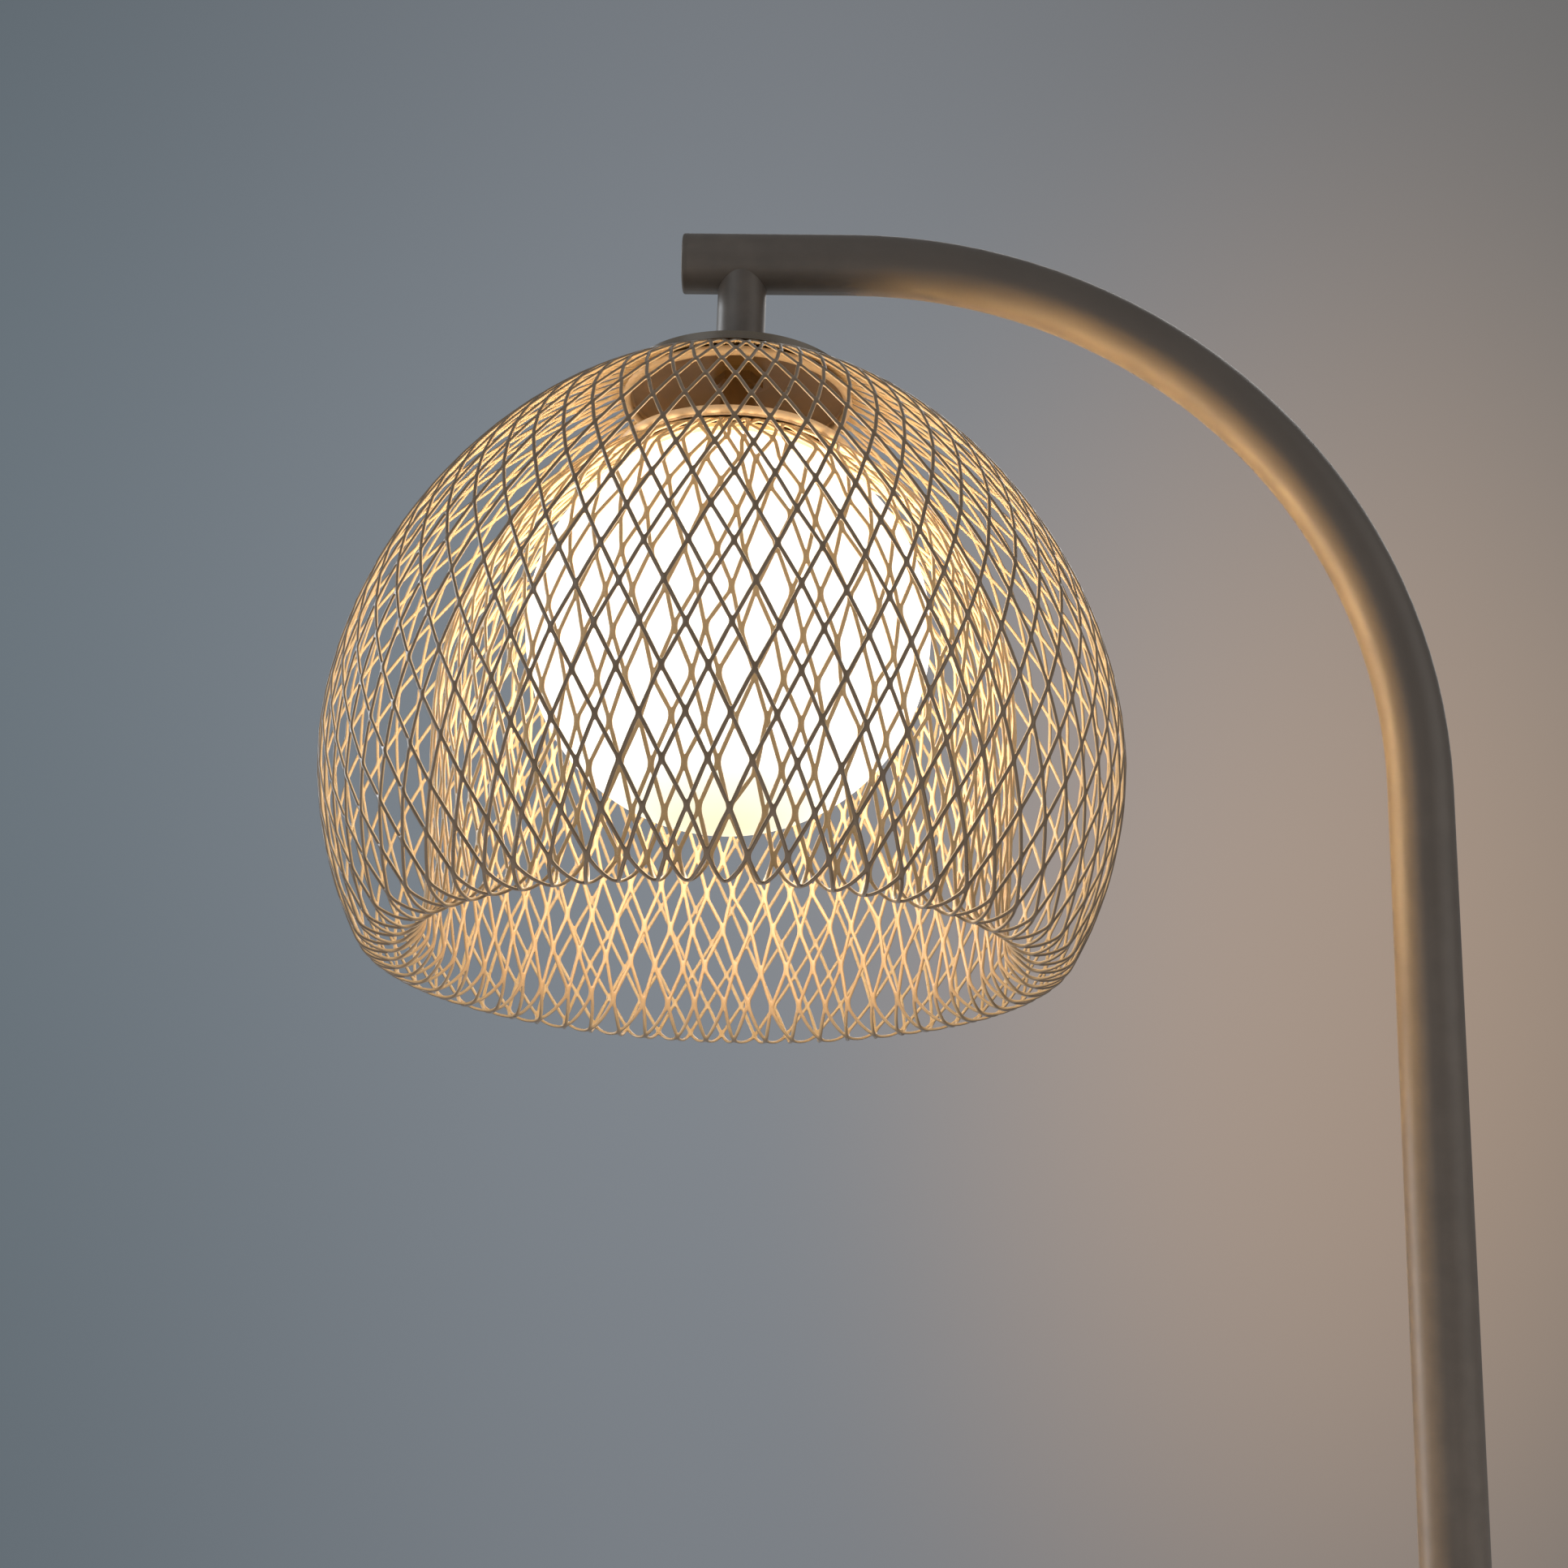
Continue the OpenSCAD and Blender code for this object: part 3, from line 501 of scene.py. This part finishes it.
class Curve:
    """The section of the net by length along it."""

    def __init__(self):
        self.points, widest = curve_points()
        self.run = [0.0]
        for a, b in zip(self.points, self.points[1:]):
            self.run.append(self.run[-1] + math.dist(a, b))
        self.widest = self.run[widest]
        self.length = self.run[-1]

    def at(self, s):
        s = min(max(s, 0.0), self.length)
        low, high = 0, len(self.run) - 1
        while high - low > 1:
            middle = (low + high) // 2
            if self.run[middle] <= s:
                low = middle
            else:
                high = middle
        t = (s - self.run[low]) / (self.run[high] - self.run[low])
        a, b = self.points[low], self.points[high]
        return a[0] + (b[0] - a[0]) * t, a[1] + (b[1] - a[1]) * t

    def inner_share(self, s):
        """0 on the outer layer and 1 on the inner one."""
        return min(max((s - self.widest - INNER_BEGINS) / INNER_GROWS, 0.0), 1.0)

    def bunched(self, s):
        """Grows to 1 where the inner layer is bunched under its plate."""
        return min(max(1 - (self.length - s) / BUNCHED, 0.0), 1.0)

    def step(self, s):
        """Length along the section from one row of knots to the next."""
        half = math.pi * self.at(s)[0] / COLUMNS
        return math.sqrt(STRAND ** 2 - half ** 2)

    def rows(self):
        """Lengths of the rows of knots, and which one lies at the widest level."""
        up = [self.widest]
        while up[-1] - self.step(up[-1]) > 0:
            up.append(up[-1] - self.step(up[-1]))
        down = [self.widest]
        while down[-1] + self.step(down[-1]) < self.length:
            down.append(down[-1] + self.step(down[-1]))
        return up[:0:-1] + down, len(up) - 1


class Net:
    """Points and faces of the net's middle surface: knots, and strands from each to two of the next row."""

    def __init__(self):
        self.rng = random.Random(NET_SEED)
        self.curve = Curve()
        self.points = []
        self.faces = []
        rows, widest = self.curve.rows()
        knots = [self.knot_row(s, row - widest) for row, s in enumerate(rows)]
        for row, (upper, lower) in enumerate(zip(knots, knots[1:])):
            self.strand_row(upper, lower, (row - widest) % 2)

    def point(self, s, angle, sideways):
        """A point at that length and angle; sideways is a length round the shade."""
        r, z = self.curve.at(s)
        a = angle + sideways / max(r, 1 * MM)
        self.points.append((AXIS_X + r * math.sin(a), -r * math.cos(a), WIDEST_Z + z))
        return len(self.points) - 1

    def knot_row(self, s, level):
        """Knots of the row that many rows below the widest level, each second row half a pitch on."""
        start = KNOT_ANGLE + ROW_TWIST * level
        return [self.knot(s, start + (col + 0.5 * (level % 2)) * PITCH) for col in range(COLUMNS)]

    def knot(self, s, angle):
        share = self.curve.inner_share(s)
        half_long, waist, ends = [between(sizes, share)
                                  for sizes in (KNOT_HALF_LONG, KNOT_HALF_WAIST, KNOT_HALF_ENDS)]
        stray = between(STRAY, share) + STRAY_BUNCHED * self.curve.bunched(s)
        ds, da = self.rng.gauss(0, stray), self.rng.gauss(0, stray)
        grid = [[self.point(s + ds + v * half_long, angle, da + u * half_wide) for u in (-1, 0, 1)]
                for v, half_wide in ((-1, ends), (0, waist), (1, ends))]
        for v in range(2):
            for u in range(2):
                self.faces.append((grid[v][u], grid[v][u + 1], grid[v + 1][u + 1], grid[v + 1][u]))
        return {"grid": grid, "s": s + ds, "angle": angle + da / self.curve.at(s)[0], "half": half_long}

    def strand_row(self, upper, lower, odd):
        for col, a in enumerate(upper):
            for side, target in ((-1, col - 1 + odd), (1, col + odd)):
                b = lower[target % COLUMNS]
                turns = (a["angle"] - b["angle"]) / (2 * math.pi)
                self.strand(a, b, side, b["angle"] + 2 * math.pi * round(turns))

    def strand(self, a, b, side, b_angle):
        """A strip from the lower edge of knot a to the upper edge of knot b, side -1 to the left."""
        before = a["grid"][2][0:2] if side < 0 else a["grid"][2][1:3]
        foot = b["grid"][0][1:3] if side < 0 else b["grid"][0][0:2]
        share = self.curve.inner_share(a["s"])
        width = between(STRAND_WIDTH, share)
        aside = side * between(STRAND_START, share)
        s0, s1 = a["s"] + a["half"], b["s"] - b["half"]
        x0 = a["angle"] + aside / self.curve.at(s0)[0]
        x1 = b_angle - aside / self.curve.at(s1)[0]
        for t in STRAND_PLACES:
            s = s0 + (s1 - s0) * t
            slope = math.atan2((x1 - x0) * self.curve.at(s)[0], s1 - s0)
            across, along = 0.5 * width * math.cos(slope), -0.5 * width * math.sin(slope)
            angle = x0 + (x1 - x0) * t
            pair = [self.point(s - along, angle, -across), self.point(s + along, angle, across)]
            self.faces.append((before[0], before[1], pair[1], pair[0]))
            before = pair
        self.faces.append((before[0], before[1], foot[1], foot[0]))


def thicken(piece):
    """Gives the sheet its thickness and rounded edges, as part of its mesh."""
    thick = piece.modifiers.new("thickness", "SOLIDIFY")
    thick.thickness = SHEET
    thick.offset = 0
    thick.use_even_offset = False
    rounded = piece.modifiers.new("rounded", "SUBSURF")
    rounded.levels = 1
    rounded.render_levels = 1
    bpy.context.view_layer.update()
    depsgraph = bpy.context.evaluated_depsgraph_get()
    finished = bpy.data.meshes.new_from_object(piece.evaluated_get(depsgraph))
    piece.modifiers.clear()
    piece.data = finished


def make_net():
    shape = Net()
    mesh = bpy.data.meshes.new("net")
    mesh.from_pydata(shape.points, [], shape.faces)
    mesh.validate()
    net = bpy.data.objects.new("net", mesh)
    bpy.context.scene.collection.objects.link(net)
    thicken(net)
    for polygon in net.data.polygons:
        polygon.use_smooth = True
    net.data.materials.append(finishes["net_lacquer"])
    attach(net, "root")
    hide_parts("mesh_shade")


# Floor and world

FLOOR = (0.62, 0.62, 0.61)
FLOOR_R = 3
FLOOR_SIDES = 96
WORLD_LIGHT = (0.60, 0.61, 0.62)
# Wall behind the lamp: colours from left to right, by the X of the direction one looks in
WALL = [(-0.33, (0.120, 0.153, 0.177)), (-0.04, (0.282, 0.304, 0.338)), (0.26, (0.165, 0.160, 0.150))]
# Its brightness from the level of the table upwards, by the Z of that direction
WALL_HEIGHTS = [(z, (v, v, v)) for z, v in ((0.0, 0.80), (0.25, 1.0), (0.42, 1.0), (0.58, 0.72))]
# A warm glow on the wall at the right: its direction, how fast it fades along X, Y and Z, and its colour
GLOW_TOWARDS = (0.160, 0.96, 0.233)
GLOW_FADE = (3.9, 1.0, 2.4)
GLOW_COLOUR = (0.176, 0.089, 0.028)


def make_floor():
    mesh = bpy.data.meshes.new("floor")
    shape = bmesh.new()
    bmesh.ops.create_circle(shape, cap_ends=True, segments=FLOOR_SIDES, radius=FLOOR_R)
    shape.to_mesh(mesh)
    shape.free()
    floor = bpy.data.objects.new("floor", mesh)
    bpy.context.scene.collection.objects.link(floor)
    s = Shader("plain_floor")
    s.coloured(s.mottled(FLOOR, s.noise(0.4), (0.99, 1.01)))
    s.set(Roughness=0.8)
    mesh.materials.append(s.material)


def along_axis(w, source, stops):
    """Colours at places along one axis of the direction."""
    low, high = stops[0][0], stops[-1][0]
    spaced = [((place - low) / (high - low), colour) for place, colour in stops]
    return w.ramp(w.scale_to(source, 0.0, 1.0, (low, high)), spaced, "B_SPLINE")


def wall_colour(w):
    """The wall by direction, with the glow on it, which fades with the distance from its own direction."""
    direction = w.add("ShaderNodeTexCoord").outputs["Generated"]
    across = along_axis(w, w.axis("X", direction), WALL)
    upwards = along_axis(w, w.axis("Z", direction), WALL_HEIGHTS)
    away = w.vector("MULTIPLY", w.vector("SUBTRACT", direction, GLOW_TOWARDS), GLOW_FADE)
    near = w.scale_to(w.vector("LENGTH", away, result="Value"), 1.0, 0.0, curve="SMOOTHERSTEP")
    return w.blend(w.product(across, upwards), w.product(near, GLOW_COLOUR), kind="ADD")


def make_world():
    """Plain light on everything, and the wall for the camera, gloss and glass."""
    world = bpy.data.worlds.new("studio")
    bpy.context.scene.world = world
    world.use_nodes = True
    world.node_tree.nodes.clear()
    w = Nodes(world.node_tree)
    path = w.add("ShaderNodeLightPath").outputs
    seen = w.total(w.total(path["Is Camera Ray"], path["Is Glossy Ray"]), path["Is Transmission Ray"])
    background = w.add("ShaderNodeBackground")
    w.feed(background.inputs["Color"], w.blend(WORLD_LIGHT, wall_colour(w), seen))
    w.feed(w.add("ShaderNodeOutputWorld").inputs["Surface"], background.outputs["Background"])


# Lamps

LAMPS_AIM = (-0.05, 0, 0.3)
# Soft lamps: name, place, where they point, width and height, watts and colour
AREA_LAMPS = [
    ("key", (-2.8, -3.3, 2.9), LAMPS_AIM, (2.6, 2.6), 28, (0.95, 0.98, 1.0)),
    ("window", (-7.3, 2.55, 2.7), LAMPS_AIM, (1.4, 4.8), 355, (0.90, 0.95, 1.0)),
    ("fill", (4.25, -1.95, 2.0), LAMPS_AIM, (3.9, 3.9), 40, (1.0, 0.94, 0.88)),
    ("back", (1.05, 3.9, 3.2), LAMPS_AIM, (2.9, 2.9), 60, (1.0, 0.98, 0.96)),
    ("table_bounce", (-0.2, -0.25, 0.02), (-0.2, -0.25, 1), (0.9, 0.6), 1.3, (1.0, 0.84, 0.70)),
]

GLOBE_COLOUR = (1.0, 0.80, 0.55)
GLOBE_POWER = 0.85
GLOBE_LAMP_R = GLOBE_R - 6 * MM
ARM_GLOW_COLOUR = (1.0, 0.64, 0.235)
ARM_GLOW_POWER = 21.0
ARM_GLOW_R = GLOBE_R - 30 * MM
ARM_GLOW_BACK = 50 * MM


def add_lamp(name, kind, power, colour):
    data = bpy.data.lights.new(name, kind)
    data.energy = power
    data.color = colour
    lamp = bpy.data.objects.new(name, data)
    bpy.context.scene.collection.objects.link(lamp)
    lamp.visible_camera = False
    return lamp


def area_lamp(name, at, aim, size, power, colour):
    """A soft lamp of size width and height that points from at to aim."""
    lamp = add_lamp(name, "AREA", power, colour)
    lamp.data.shape = "RECTANGLE"
    lamp.data.size, lamp.data.size_y = size
    lamp.location = at
    lamp.rotation_euler = (Vector(aim) - Vector(at)).to_track_quat("-Z", "Y").to_euler()


def globe_lamp(name, power, colour, radius, mirrored, offset=0.0, receivers=()):
    """A ball of light that passes through the globe's glass, for all pieces or a few alone.

    mirrored says whether gloss shows it, and offset moves it towards the back.
    """
    lamp = add_lamp(name, "POINT", power, colour)
    lamp.data.shadow_soft_size = radius
    lamp.data.use_soft_falloff = False
    lamp.parent = frame["bodies"]["globe"]
    lamp.location = (AXIS_X, offset, GLOBE_Z)
    lamp.visible_glossy = mirrored
    glass = bpy.data.collections.new(name + "_glass")
    glass.objects.link(nodes["opal_globe"])
    glass.collection_objects[0].light_linking.link_state = "EXCLUDE"
    lamp.light_linking.blocker_collection = glass
    if receivers:
        lit = bpy.data.collections.new(name + "_receivers")
        for piece in receivers:
            lit.objects.link(nodes[piece])
        lamp.light_linking.receiver_collection = lit


def make_lamps():
    for lamp in AREA_LAMPS:
        area_lamp(*lamp)
    globe_lamp("globe_light", GLOBE_POWER, GLOBE_COLOUR, GLOBE_LAMP_R, True)
    globe_lamp("arm_glow", ARM_GLOW_POWER, ARM_GLOW_COLOUR, ARM_GLOW_R, False, ARM_GLOW_BACK,
               ("arm_tube", "arm_plug"))


make_camera()
dress_cad_nodes()
make_net()
make_floor()
make_world()
make_lamps()
bpy.context.scene.view_settings.view_transform = "Standard"
